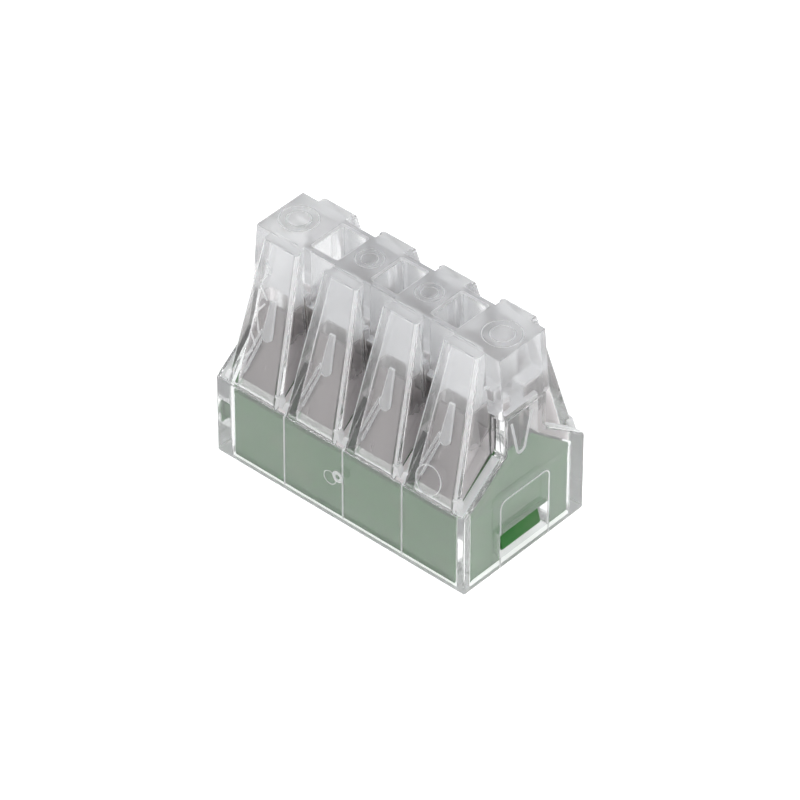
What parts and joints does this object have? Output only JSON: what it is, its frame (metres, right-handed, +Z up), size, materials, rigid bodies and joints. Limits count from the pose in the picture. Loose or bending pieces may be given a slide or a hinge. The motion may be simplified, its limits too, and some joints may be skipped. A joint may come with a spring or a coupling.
{
  "type": "push-wire junction connector",
  "caption": "Push-wire junction connector: a clear housing with two rows of sloping conductor towers over a green snap-in cover, with a busbar and sprung clamping leaves inside.",
  "frame": {"origin": "centre of the housing's bottom rim, on the surface it rests on, midway between the end walls and midway between the two rows", "axes": "+X along the row of four poles, +Y from the front row to the rear row, +Z up from the conductor entries towards the test slots"},
  "size_m": [0.022, 0.012, 0.0173],
  "materials": {
    "clear_housing": "clear polished polycarbonate",
    "green_cover": "moulded satin green polyamide",
    "tinned_copper": "dull tin plating over copper",
    "spring_steel": "bare rolled stainless spring strip"
  },
  "bodies": {
    "root": {"housing": "clear_housing", "entry_cover": "green_cover", "busbar": "tinned_copper", "clamp_spring_front_1": "spring_steel", "clamp_spring_front_2": "spring_steel", "clamp_spring_front_3": "spring_steel", "clamp_spring_front_4": "spring_steel", "clamp_spring_rear_1": "spring_steel", "clamp_spring_rear_2": "spring_steel", "clamp_spring_rear_3": "spring_steel", "clamp_spring_rear_4": "spring_steel"},
    "leaf_front_1": {"clamp_leaf_front_1": "spring_steel"},
    "leaf_front_2": {"clamp_leaf_front_2": "spring_steel"},
    "leaf_front_3": {"clamp_leaf_front_3": "spring_steel"},
    "leaf_front_4": {"clamp_leaf_front_4": "spring_steel"},
    "leaf_rear_1": {"clamp_leaf_rear_1": "spring_steel"},
    "leaf_rear_2": {"clamp_leaf_rear_2": "spring_steel"},
    "leaf_rear_3": {"clamp_leaf_rear_3": "spring_steel"},
    "leaf_rear_4": {"clamp_leaf_rear_4": "spring_steel"}
  },
  "joints": [
    {"name": "leaf_front_1_open", "type": "hinge", "parent": "root", "child": "leaf_front_1", "pos_m": [-0.0078, -0.00409, 0.00633], "axis": [1, 0, 0], "range_deg": [0, 22], "stiffness_Nm_per_rad": 0.02},
    {"name": "leaf_front_2_open", "type": "hinge", "parent": "root", "child": "leaf_front_2", "pos_m": [-0.0026, -0.00409, 0.00633], "axis": [1, 0, 0], "range_deg": [0, 22], "stiffness_Nm_per_rad": 0.02},
    {"name": "leaf_front_3_open", "type": "hinge", "parent": "root", "child": "leaf_front_3", "pos_m": [0.0026, -0.00409, 0.00633], "axis": [1, 0, 0], "range_deg": [0, 22], "stiffness_Nm_per_rad": 0.02},
    {"name": "leaf_front_4_open", "type": "hinge", "parent": "root", "child": "leaf_front_4", "pos_m": [0.0078, -0.00409, 0.00633], "axis": [1, 0, 0], "range_deg": [0, 22], "stiffness_Nm_per_rad": 0.02},
    {"name": "leaf_rear_1_open", "type": "hinge", "parent": "root", "child": "leaf_rear_1", "pos_m": [-0.0078, 0.00409, 0.00633], "axis": [-1, 0, 0], "range_deg": [0, 22], "stiffness_Nm_per_rad": 0.02},
    {"name": "leaf_rear_2_open", "type": "hinge", "parent": "root", "child": "leaf_rear_2", "pos_m": [-0.0026, 0.00409, 0.00633], "axis": [-1, 0, 0], "range_deg": [0, 22], "stiffness_Nm_per_rad": 0.02},
    {"name": "leaf_rear_3_open", "type": "hinge", "parent": "root", "child": "leaf_rear_3", "pos_m": [0.0026, 0.00409, 0.00633], "axis": [-1, 0, 0], "range_deg": [0, 22], "stiffness_Nm_per_rad": 0.02},
    {"name": "leaf_rear_4_open", "type": "hinge", "parent": "root", "child": "leaf_rear_4", "pos_m": [0.0078, 0.00409, 0.00633], "axis": [-1, 0, 0], "range_deg": [0, 22], "stiffness_Nm_per_rad": 0.02}
  ]
}
